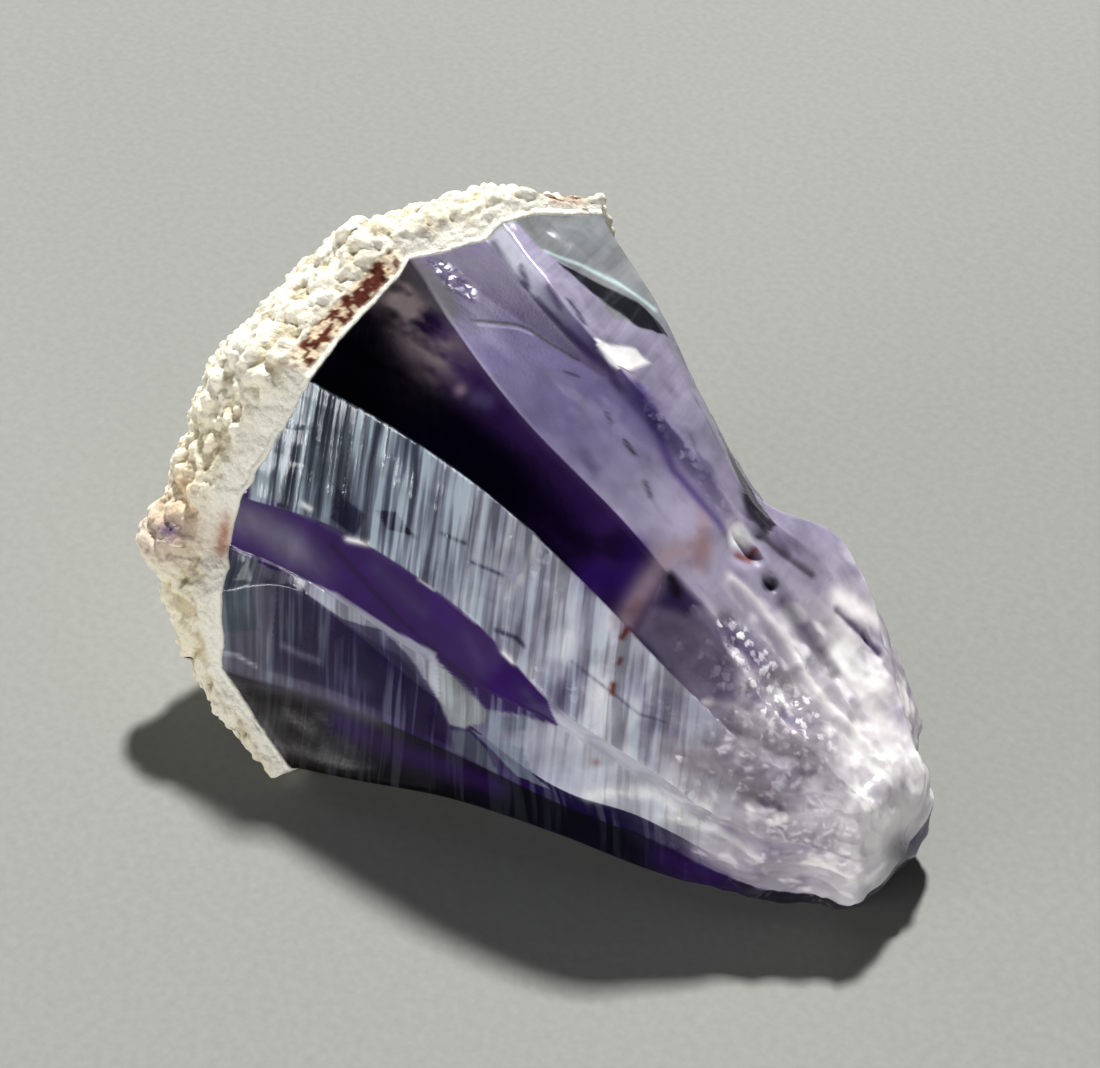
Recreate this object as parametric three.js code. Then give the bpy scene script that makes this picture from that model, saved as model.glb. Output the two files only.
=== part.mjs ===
// An amethyst point broken out of its vein: a tapering, striated crystal with a white crust
// over its wide end and a milky, chipped tip, lying on one long side.
// Lengths are in millimetres. +X runs from the crust to the tip, +Z is up, and it rests on z = 0.
import * as THREE from "three";

// Driving dimensions. Each ridge of the crystal is a curve through seven corners, from the crust
// to the tip, and the ridges go round the crystal from the near foot over the top to the back.
// facets is how many strips wide the face is that lies between a ridge and the next one.
const ridges = [
  {
    name: "near foot",
    face: "smooth",
    facets: 1,
    corners: [[-6, -18.5, 0], [-1, -16, 0], [5, -13, 0], [12, -10.5, 0], [18, -8.5, 0], [24, -6, 0], [28.5, -3.4, 0]],
  },
  {
    name: "lower edge",
    face: "smooth",
    facets: 2,
    corners: [[-6, -21.2, 1.5], [-0.8, -18.8, 2.2], [5.2, -15.6, 2.4], [12.4, -12.6, 2], [19, -10.2, 1.4], [25, -7.4, 1.2], [29.6, -4, 1]],
  },
  {
    name: "lilac ridge",
    face: "striated",
    facets: 3,
    corners: [[-13.2, -20.2, 6.5], [-5, -17.4, 7], [4.2, -15, 6.8], [12.4, -12.4, 5.4], [18.2, -9.8, 4.2], [25, -7.6, 2.8], [29.8, -4.4, 2.2]],
  },
  {
    name: "sliver",
    face: "striated",
    facets: 2,
    corners: [[-14.2, -19, 12.5], [-8.6, -16.2, 14.2], [1.4, -14.2, 10.2], [11.8, -13, 7.6], [17.8, -10, 6.2], [25, -7.8, 4.8], [29.8, -4.4, 4.2]],
  },
  {
    name: "strip foot",
    face: "smooth",
    facets: 2,
    corners: [[-15.6, -16.6, 14.8], [-8.4, -15.4, 15], [2.8, -13.2, 12.6], [10.2, -11.4, 12], [17.6, -9.4, 9.4], [24.6, -7.8, 7], [29.8, -4.6, 5.8]],
  },
  {
    name: "strip top",
    face: "striated",
    facets: 5,
    corners: [[-15, -15.6, 19], [-6.4, -13.8, 20], [4, -12.8, 18.8], [11.8, -12.2, 14.8], [17.8, -9.8, 11.4], [24.6, -8, 8.8], [29.6, -4.4, 7.4]],
  },
  {
    name: "bright face top",
    face: "smooth",
    facets: 3,
    corners: [[-13.2, -10.2, 27.5], [-4.6, -9.6, 27.5], [3.8, -9, 26], [12, -8.4, 22.5], [17.8, -7, 17.8], [24, -5.2, 13], [29.2, -3, 10]],
  },
  {
    name: "dark face top",
    face: "chipped",
    facets: 4,
    corners: [[-13, 0, 32], [-6.6, -2.8, 31.8], [2, -4.8, 30], [11, -4.6, 26.2], [16.6, -3.6, 21], [23.2, -2.8, 15.2], [29.2, -1.6, 11]],
  },
  {
    name: "ledge foot",
    face: "smooth",
    facets: 1,
    corners: [[-10.8, 5, 32], [-3.6, 3.4, 30.4], [3.6, 3, 27.6], [10.6, 3.4, 23.2], [17.4, 3.2, 18], [23.6, 3.4, 13.6], [29, 2.2, 10.2]],
  },
  {
    name: "ledge lip",
    face: "chipped",
    facets: 3,
    corners: [[-10.6, 6.4, 32.8], [-3.6, 4.4, 31.6], [3.6, 4, 28.6], [10.4, 4.4, 24], [17.2, 4.2, 18.6], [23.4, 4.2, 14], [28.8, 2.6, 10.4]],
  },
  {
    name: "grey facet edge",
    face: "smooth",
    facets: 2,
    corners: [[-9.8, 9.4, 32.4], [0.8, 9.4, 28.8], [7.4, 7.4, 25.4], [13, 6.6, 20.8], [17.6, 8, 17.6], [23.4, 7.4, 13.3], [29.4, 5, 9.6]],
  },
  {
    name: "far top",
    face: "striated",
    facets: 5,
    corners: [[-8, 13.8, 30.8], [1, 10.6, 28.2], [6.2, 8.8, 25], [12.2, 8, 20.2], [16.8, 10.8, 17], [23.4, 8, 12.8], [28.8, 5.6, 8.6]],
  },
  {
    name: "back",
    face: "chipped",
    facets: 5,
    corners: [[-8, 17.5, 17], [1, 15.5, 15], [8, 13.5, 13], [14, 12.5, 11.5], [19, 12.5, 9.5], [25, 10, 7], [29.2, 7, 5]],
  },
  {
    name: "back foot",
    face: "flat",
    facets: 1,
    corners: [[-9, 13, 0], [0, 12, 0], [7, 10.5, 0], [13, 9.5, 0], [19, 9, 0], [25, 7.5, 0], [29, 5, 0]],
  },
];
// Outer corner of the crust's broken edge at each ridge, in the same order.
const crustCorners = [
  [-8.2, -18.5, 0.3], [-8, -21.8, 1], [-15.6, -21.2, 5.6], [-17.4, -20.8, 11.6], [-18, -18.8, 15],
  [-18, -16.8, 19.6], [-16.4, -10.8, 28.8], [-16.4, -0.4, 33.4], [-13.4, 5.8, 33.2], [-12.8, 7.2, 33.6],
  [-11, 9.8, 33.2], [-8.9, 13.8, 31.2], [-10.6, 18, 17], [-11.6, 13, 0.3],
];
const crystalPeak = new THREE.Vector3(-20.2, -8, 18.5); // of the low pyramid under the crust
const crustPeak = new THREE.Vector3(-23.4, -9.5, 19.5);
const crystalFullness = 0.62; // under 1 a pyramid swells between its rim and its peak
const crustFullness = 0.5;
const crustGap = 0.4; // thin parting between crystal and crust
const tipCentre = new THREE.Vector3(29.4, 0.6, 4.8);
const tipLength = 3; // how far the blunt tip stands past the last corners
const tipBluntness = 0.55; // under 1 the tip is squarer than a half round
const cAxis = new THREE.Vector3(0.962, 0.257, 0.098).normalize(); // growth lines lie square to it
const treadPitch = 1.9; // from one growth line to the next
const treadHeight = 0.45;
const ledgeHeight = 0.7; // of the broken ledges on the chipped faces
const tipLedgeHeight = 0.7;
const centreOffset = new THREE.Vector3(-4.55, 1.81, 0); // brings the middle of the outline to x = y = 0

// Hollows knocked out of the upper faces.
const hollows = [
  { name: "bright chip", at: [2.4, 4.8, 29.2], radius: 1.9, depth: 0.7 },
  { name: "stained cavity", at: [14.7, 3.6, 20.3], radius: 1.8, depth: 0.9 },
  { name: "sparkling hollow", at: [21, -1.2, 16.8], radius: 2.6, depth: 0.6 },
  { name: "back chip", at: [4, 15, 18], radius: 3, depth: 1 },
  { name: "small back chip", at: [17, 12.4, 6], radius: 2.2, depth: 0.8 },
];
// Round lumps that stand out of the crust.
const crustLumps = [
  { name: "nub on the near side", at: [-20.8, -19.6, 13.2], radius: 2.2, height: 1.7 },
  { name: "bump on the top edge", at: [-17, -2.2, 33.4], radius: 2.1, height: 1.3 },
  { name: "swelling beside it", at: [-15, 2.6, 34], radius: 2.2, height: 0.4 },
  { name: "lump low on the dome", at: [-18, 8, 12], radius: 4, height: 0.9 },
];

// Counts of facets along the crystal and over its two ends.
const sideRows = 56;
const tipRows = 6;
const crystalPeakRows = 4;
const crustPeakRows = 11;
const crustEdgeRows = 2;
const crustDetail = 2; // facets of the crust to one facet of the crystal, round the rim
const crustFloorFacets = 12; // along the crust's lowest edge, over the crystal's one flat facet

const lastCorner = ridges[0].corners.length - 1;
const ridgeCurves = ridges.map((ridge) => {
  const corners = ridge.corners.map((corner) => new THREE.Vector3(...corner));
  return new THREE.CatmullRomCurve3(corners, false, "catmullrom", 0.5);
});

// Lengthwise lines of facets: the ridge that each starts from, and how far it is to the next one.
function facetLines(facetCount) {
  return ridges.flatMap((face, ridge) => {
    const count = facetCount(face);
    return Array.from({ length: count }, (_, step) => ({ ridge, face: face.face, across: step / count }));
  });
}

// One point for each line, between corners that go round the crystal.
function ringThrough(corners, lines) {
  return lines.map(({ ridge, across }) =>
    corners[ridge].clone().lerp(corners[(ridge + 1) % corners.length], across),
  );
}

function sideRing(along, lines) {
  return ringThrough(ridgeCurves.map((curve) => curve.getPoint(along / lastCorner)), lines);
}

// A repeatable number from 0 to 1 for each cell.
function cellNumber(x, y, z) {
  const wave = Math.sin(x * 127.1 + y * 311.7 + z * 74.7) * 43758.5453;
  return wave - Math.floor(wave);
}

const smoothStep = (low, high, value) => THREE.MathUtils.smoothstep(value, low, high);

// Smooth lumps of about the given size, from -1 to 1.
function lumps(point, size) {
  const scaled = point.toArray().map((value) => value / size);
  const cell = scaled.map(Math.floor);
  const part = scaled.map((value, axis) => smoothStep(0, 1, value - cell[axis]));
  let sum = 0;
  for (let corner = 0; corner < 8; corner++) {
    const offset = [corner & 1, (corner >> 1) & 1, corner >> 2];
    const weight = offset.reduce((product, on, axis) => product * (on ? part[axis] : 1 - part[axis]), 1);
    sum += weight * cellNumber(...cell.map((value, axis) => value + offset[axis]));
  }
  return 2 * sum - 1;
}

// Broken ledges: the face is parted into flakes, each with its own level and slight tilt.
function ledges(lengthwise, crosswise, seed) {
  let nearest = Infinity;
  let height = 0;
  for (let i = Math.floor(lengthwise) - 1; i <= lengthwise + 1; i++)
    for (let j = Math.floor(crosswise) - 1; j <= crosswise + 1; j++) {
      const across = lengthwise - i - cellNumber(i, j, seed);
      const up = crosswise - j - cellNumber(j, i, seed + 7);
      const distance = Math.hypot(across, up);
      if (distance < nearest) {
        nearest = distance;
        const tilt = cellNumber(i, seed, j) - 0.5;
        height = cellNumber(seed, i, j) - 0.5 + 0.8 * tilt * across + 0.5 * tilt * up;
      }
    }
  return height;
}

// Growth lines: flat treads at slightly different levels, square to the crystal's long axis.
function treads(point) {
  const phase = point.dot(cAxis) / treadPitch;
  const tread = Math.floor(phase);
  const riser = smoothStep(0.7, 1, phase - tread);
  return THREE.MathUtils.lerp(cellNumber(tread, 3, 5), cellNumber(tread + 1, 3, 5), riser) - 0.5;
}

// How far each kind of face stands out of its even surface.
const faceRelief = {
  flat: () => 0,
  smooth: ({ point }) => 0.12 * lumps(point, 5),
  striated: ({ point, along, line }) =>
    treadHeight * treads(point) + 0.3 * ledges(along * 0.9, line * 0.4, 11),
  chipped: ({ point, along, line }) =>
    ledgeHeight * ledges(along * 1.1, line * 0.55, 23) + 0.3 * treadHeight * treads(point),
};

// The tip is lumpy and chipped all round, whatever the face is further up.
function tipRelief({ point, along, line }) {
  const offEnd = 1 - smoothStep(lastCorner, lastCorner + 0.5, along);
  return offEnd * tipLedgeHeight * ledges(along * 1.3, line * 0.3, 41) + 0.45 * lumps(point, 2.8);
}

function hollowDepth(point) {
  return hollows.reduce((depth, hollow) => {
    const away = point.distanceTo(new THREE.Vector3(...hollow.at)) / hollow.radius;
    return depth + hollow.depth * (1 - smoothStep(0.55, 1.05, away));
  }, 0);
}

// Relief of the crystal fades at its ridges, which stay crisp, at the rim and near the floor.
function crystalRelief(place) {
  const { across, face } = place.facet;
  const offRidge = Math.min(1, 0.15 + 4 * Math.min(across, 1 - across));
  const towardsTip = smoothStep(3.5, 5, place.along);
  const relief = THREE.MathUtils.lerp(faceRelief[face](place) * offRidge, tipRelief(place), towardsTip);
  const offRim = smoothStep(0, 0.25, place.along);
  const offFloor = smoothStep(0.2, 2.5, place.point.z);
  return (relief - hollowDepth(place.point)) * offRim * offFloor;
}

function crustRelief(point) {
  const grains = 0.32 * lumps(point, 1.3) + 0.3 * lumps(point, 2.9);
  const round = crustLumps.reduce((height, lump) => {
    const away = point.distanceTo(new THREE.Vector3(...lump.at)) / lump.radius;
    return height + lump.height * Math.exp(-(away ** 4));
  }, 0);
  return (grains + round) * smoothStep(0.3, 2, point.z);
}

// Rings drawn in from a rim towards a peak. The last one is next to the peak.
function peakRings(rim, peak, rows, fullness) {
  return Array.from({ length: rows }, (_, row) => {
    const inward = (row + 1) / (rows + 1);
    const back = Math.pow(Math.sin((inward * Math.PI) / 2), fullness);
    return rim.map((point) => {
      const drawn = point.clone().lerp(peak, inward);
      return drawn.setX(THREE.MathUtils.lerp(point.x, peak.x, back));
    });
  });
}

function tipRings(lastRing) {
  return Array.from({ length: tipRows }, (_, row) => {
    const angle = ((row + 1) / (tipRows + 0.5)) * (Math.PI / 2);
    const width = Math.pow(Math.cos(angle), tipBluntness);
    return lastRing.map((point) => {
      const slant = 1 - 0.03 * point.z; // the tip leans back towards its top
      const drawn = tipCentre.clone().lerp(point, width);
      return drawn.setX(drawn.x + tipLength * slant * Math.sin(angle));
    });
  });
}

// Closes a stack of rings into one solid, with a point at each end. Each four-sided facet is
// split along its shorter diagonal, so that two lofts through the same rings match.
function closedLoft(startPoint, rings, endPoint) {
  const around = rings[0].length;
  const points = [startPoint, ...rings.flat(), endPoint];
  const last = points.length - 1;
  const at = (ring, step) => 1 + ring * around + (step % around);
  const triangles = [];
  for (let step = 0; step < around; step++) {
    triangles.push(0, at(0, step), at(0, step + 1));
    for (let ring = 0; ring + 1 < rings.length; ring++) {
      const [a, b] = [at(ring, step), at(ring, step + 1)];
      const [c, d] = [at(ring + 1, step), at(ring + 1, step + 1)];
      const shorter = points[a].distanceTo(points[d]) < points[b].distanceTo(points[c]);
      triangles.push(...(shorter ? [a, c, d, a, d, b] : [a, c, b, b, c, d]));
    }
    triangles.push(last, at(rings.length - 1, step + 1), at(rings.length - 1, step));
  }
  const geometry = new THREE.BufferGeometry().setFromPoints(points);
  geometry.setIndex(triangles);
  geometry.computeVertexNormals();
  return geometry;
}

// Moves each point of a loft along its normal, by the relief for its ring and its line.
function raise(geometry, around, relief) {
  const position = geometry.getAttribute("position");
  const normal = geometry.getAttribute("normal");
  for (let index = 1; index + 1 < position.count; index++) {
    const point = new THREE.Vector3().fromBufferAttribute(position, index);
    const outward = new THREE.Vector3().fromBufferAttribute(normal, index);
    point.addScaledVector(outward, relief(point, Math.floor((index - 1) / around), (index - 1) % around));
    position.setXYZ(index, ...point.toArray());
  }
  geometry.computeVertexNormals();
  return geometry;
}

function crystalGeometry() {
  const lines = facetLines((face) => face.facets);
  const sides = Array.from({ length: sideRows + 1 }, (_, row) => sideRing((row / sideRows) * lastCorner, lines));
  const pyramid = peakRings(sides[0], crystalPeak, crystalPeakRows, crystalFullness).reverse();
  const rings = [...pyramid, ...sides, ...tipRings(sides.at(-1))];
  const tipPoint = tipCentre.clone().setX(tipCentre.x + tipLength);
  const geometry = closedLoft(crystalPeak, rings, tipPoint);
  return raise(geometry, lines.length, (point, ring, line) => {
    const along = ((ring - crystalPeakRows) / sideRows) * lastCorner;
    return along > 0 ? crystalRelief({ point, along, line, facet: lines[line] }) : 0;
  });
}

// The crust is a shell over the crystal's pyramid, broken off flush with the crystal's sides.
function crustGeometry() {
  const lines = facetLines((face) => (face.face === "flat" ? crustFloorFacets : face.facets * crustDetail));
  const parted = (point) => point.clone().setX(point.x - crustGap);
  const rim = sideRing(0, lines);
  const lining = peakRings(rim, crystalPeak, crystalPeakRows, crystalFullness).map((ring) => ring.map(parted));
  const innerRim = rim.map(parted);
  const outerRim = ringThrough(crustCorners.map((corner) => new THREE.Vector3(...corner)), lines);
  const edge = Array.from({ length: crustEdgeRows }, (_, row) =>
    outerRim.map((point, line) => point.clone().lerp(innerRim[line], row / crustEdgeRows)),
  );
  const dome = peakRings(outerRim, crustPeak, crustPeakRows, crustFullness).reverse();
  const geometry = closedLoft(crustPeak, [...dome, ...edge, innerRim, ...lining], parted(crystalPeak));
  return raise(geometry, lines.length, (point, ring) => (ring <= crustPeakRows ? crustRelief(point) : 0));
}

const amethystMaterial = new THREE.MeshStandardMaterial({ color: "#4b2a78", roughness: 0.15, metalness: 0 });
const crustMaterial = new THREE.MeshStandardMaterial({ color: "#ece4cf", roughness: 0.9, metalness: 0 });

function piece(name, geometry, material) {
  const mesh = new THREE.Mesh(geometry, material);
  mesh.name = name;
  mesh.position.copy(centreOffset);
  return mesh;
}

const crystalPoint = new THREE.Group();
crystalPoint.add(piece("amethyst", crystalGeometry(), amethystMaterial));
crystalPoint.add(piece("white_crust", crustGeometry(), crustMaterial));

export default crystalPoint;
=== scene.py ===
# Amethyst point with a white crust over its wide end, lying on one long side.
import math

import bpy
import numpy as np
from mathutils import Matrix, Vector


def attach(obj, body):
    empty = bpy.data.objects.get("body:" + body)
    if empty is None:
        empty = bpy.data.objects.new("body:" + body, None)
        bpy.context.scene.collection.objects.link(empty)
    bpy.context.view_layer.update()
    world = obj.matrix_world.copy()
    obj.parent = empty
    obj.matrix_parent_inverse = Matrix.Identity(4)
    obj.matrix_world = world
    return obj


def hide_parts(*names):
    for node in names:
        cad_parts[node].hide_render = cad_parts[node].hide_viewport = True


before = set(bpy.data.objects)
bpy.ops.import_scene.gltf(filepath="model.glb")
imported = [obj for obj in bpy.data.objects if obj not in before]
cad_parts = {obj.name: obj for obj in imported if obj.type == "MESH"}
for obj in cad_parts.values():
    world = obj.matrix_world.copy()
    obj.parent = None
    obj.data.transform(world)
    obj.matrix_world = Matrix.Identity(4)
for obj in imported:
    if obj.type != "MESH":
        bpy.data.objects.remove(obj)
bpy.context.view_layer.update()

mm = 0.001
centreOffset = np.array([-4.55, 1.81, 0.0])  # brings the middle of the resting outline to the origin, mm
growthAxis = np.array([0.962, 0.257, 0.098])  # the crystal's long axis: growth lines lie square to it
growthAxis /= np.linalg.norm(growthAxis)


# linear colour of an sRGB hex value
def hexColour(code):
    parts = [int(code[i:i + 2], 16) / 255 for i in (1, 3, 5)]
    return tuple(p / 12.92 if p <= 0.04045 else ((p + 0.055) / 1.055) ** 2.4 for p in parts) + (1.0,)


def smoothStep(low, high, value):
    part = np.clip((value - low) / (high - low), 0, 1)
    return part * part * (3 - 2 * part)


# a repeatable number from 0 to 1 for each cell of space
def cellNumber(i, j, k, seed):
    wave = np.sin(i * 127.1 + j * 311.7 + k * 74.7 + seed * 19.19) * 43758.5453
    return wave - np.floor(wave)


# smooth lumps from -1 to 1, of about the given size in mm
def lumps(points, size, seed):
    scaled = points / np.asarray(size, float)
    cell = np.floor(scaled)
    part = scaled - cell
    part = part * part * (3 - 2 * part)
    total = 0
    for corner in range(8):
        step = np.array([corner & 1, (corner >> 1) & 1, corner >> 2])
        weight = np.prod(np.where(step, part, 1 - part), axis=-1)
        total = total + weight * cellNumber(*np.moveaxis(cell + step, -1, 0), seed)
    return 2 * total - 1


# three sizes of lumps together, for cloudy edges
def clouds(points, size, seed):
    size = np.asarray(size, float)
    return (lumps(points, size, seed) + 0.5 * lumps(points, size / 2.1, seed + 1)
            + 0.25 * lumps(points, size / 4.3, seed + 2)) / 1.4


# every neighbouring grain of each point: the way from the grain's centre, and three numbers of its own
def neighbours(points, size, seed):
    scaled = points / np.asarray(size, float)
    cell = np.floor(scaled)
    for step in np.ndindex(3, 3, 3):
        at = np.moveaxis(cell + np.array(step) - 1, -1, 0)
        own = np.stack([cellNumber(*at, seed + n) for n in (0, 5, 9)], axis=-1)
        yield scaled - np.moveaxis(at, 0, -1) - own, own


# round grains packed side by side, each standing out as a bead, from 0 to 1
def beads(points, size, seed):
    height = np.zeros(points.shape[:-1])
    for away, own in neighbours(points, size, seed):
        radius = 0.55 + 0.3 * own[..., 1]
        bead = radius * np.sqrt(np.clip(1 - np.sum(away ** 2, axis=-1) / radius ** 2, 0, 1))
        height = np.maximum(height, bead)
    return height / 0.85


# shallow scooped chips that meet in crisp ridges, about -0.5 to 0.5
def scoops(points, size, seed):
    depth = np.full(points.shape[:-1], 9.0)
    for away, own in neighbours(points, size, seed):
        tilt = np.sum(away * (own - 0.5), axis=-1)
        depth = np.minimum(depth, 0.7 * np.sum(away ** 2, axis=-1) + 0.9 * tilt + 0.5 * own[..., 2])
    return depth - 0.45


# how near points are to a line through the given places, 1 on it and fading to 0 at about the radius
def nearLine(points, places, radius):
    places = np.array(places, float)
    best = np.full(points.shape[:-1], 1e9)
    for a, b in zip(places, places[1:] if len(places) > 1 else places):
        run = b - a
        part = np.clip(((points - a) @ run) / max(run @ run, 1e-9), 0, 1)
        best = np.minimum(best, np.linalg.norm(points - a - part[..., None] * run, axis=-1))
    return np.exp(-((best / radius) ** 2))


# points on a smooth curve through the corners, at stations counted in corners
def alongRidge(corners, stations):
    corners = np.array(corners, float)
    padded = np.vstack([2 * corners[0] - corners[1], corners, 2 * corners[-1] - corners[-2]])
    span = np.minimum(stations.astype(int), len(corners) - 2)
    part = (stations - span)[:, None]
    before, start, end, after = (padded[span + k] for k in range(4))
    leave, arrive = (end - before) / 2, (after - start) / 2
    return ((2 * start - 2 * end + leave + arrive) * part ** 3
            + (3 * end - 3 * start - 2 * leave - arrive) * part ** 2 + leave * part + start)


# one point for each column, between the corners that go round the crystal
def ringThrough(corners, ridgeOf, partOf):
    following = corners[..., (ridgeOf + 1) % corners.shape[-2], :]
    return corners[..., ridgeOf, :] * (1 - partOf[:, None]) + following * partOf[:, None]


# which ridge each column starts from, and how far it is to the next one
def columnsFor(counts):
    ridgeOf = np.repeat(np.arange(len(counts)), counts)
    partOf = np.concatenate([np.arange(count) / count for count in counts])
    return ridgeOf, partOf


# rings drawn in from a rim towards a peak, closer together at the rim where crowding is above 1
def peakRings(rim, peak, rows, fullness, crowding=1):
    inward = ((np.arange(rows) + 1) / (rows + 1)) ** crowding
    rings = rim + (peak - rim) * inward[:, None, None]
    back = np.sin(inward * math.pi / 2) ** fullness
    rings[..., 0] = rim[:, 0] + (peak[0] - rim[:, 0]) * back[:, None]
    return rings


# outward directions of a grid that closes round its columns
def gridNormals(grid):
    lengthwise = np.gradient(grid, axis=0)
    around = np.roll(grid, -1, axis=1) - np.roll(grid, 1, axis=1)
    normals = np.cross(lengthwise, around)
    return normals / np.maximum(np.linalg.norm(normals, axis=-1, keepdims=True), 1e-12)


# distance travelled round each ring from its first column, mm
def aroundLength(grid):
    steps = np.linalg.norm(np.roll(grid, -1, axis=1) - grid, axis=-1)
    return np.cumsum(steps, axis=1) - steps


# a closed mesh from rings of points in mm, with a point at each end
def closedLoft(name, startPoint, grid, endPoint):
    rows, around = grid.shape[:2]
    points = np.vstack([startPoint, grid.reshape(-1, 3), endPoint])
    index = 1 + np.arange(rows * around).reshape(rows, around)
    a, c = index[:-1], index[1:]
    b, d = np.roll(a, -1, axis=1), np.roll(c, -1, axis=1)
    faces = np.stack([a, c, d, b], axis=-1).reshape(-1, 4).tolist()
    first, last = index[0], index[-1]
    faces += np.stack([np.zeros_like(first), first, np.roll(first, -1)], axis=-1).tolist()
    faces += np.stack([np.full_like(last, len(points) - 1), np.roll(last, -1), last], axis=-1).tolist()
    mesh = bpy.data.meshes.new(name)
    mesh.from_pydata(((points + centreOffset) * mm).tolist(), [], faces)
    mesh.polygons.foreach_set("use_smooth", [True] * len(mesh.polygons))
    piece = bpy.data.objects.new(name, mesh)
    bpy.context.collection.objects.link(piece)
    return piece


# stores one number or colour for each point of a loft
def paint(piece, name, values):
    values = np.asarray(values, float)
    isColour = values.ndim == 3
    flat = values.reshape(-1, values.shape[-1]) if isColour else values.reshape(-1, 1)
    flat = np.vstack([flat[:1], flat, flat[-1:]])
    attribute = piece.data.attributes.new(name, "FLOAT_COLOR" if isColour else "FLOAT", "POINT")
    if isColour:
        flat = np.hstack([flat[:, :3], np.ones((len(flat), 1))])
    attribute.data.foreach_set("color" if isColour else "value", flat.ravel())


# adds a node with its settings and links; an input is named, or numbered where names repeat
def addNode(tree, kind, inputs=None, **settings):
    made = tree.nodes.new(kind)
    for name, value in settings.items():
        setattr(made, name, value)
    for name, value in (inputs or {}).items():
        if isinstance(value, bpy.types.NodeSocket):
            tree.links.new(value, made.inputs[name])
        else:
            made.inputs[name].default_value = value
    return made


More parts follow.
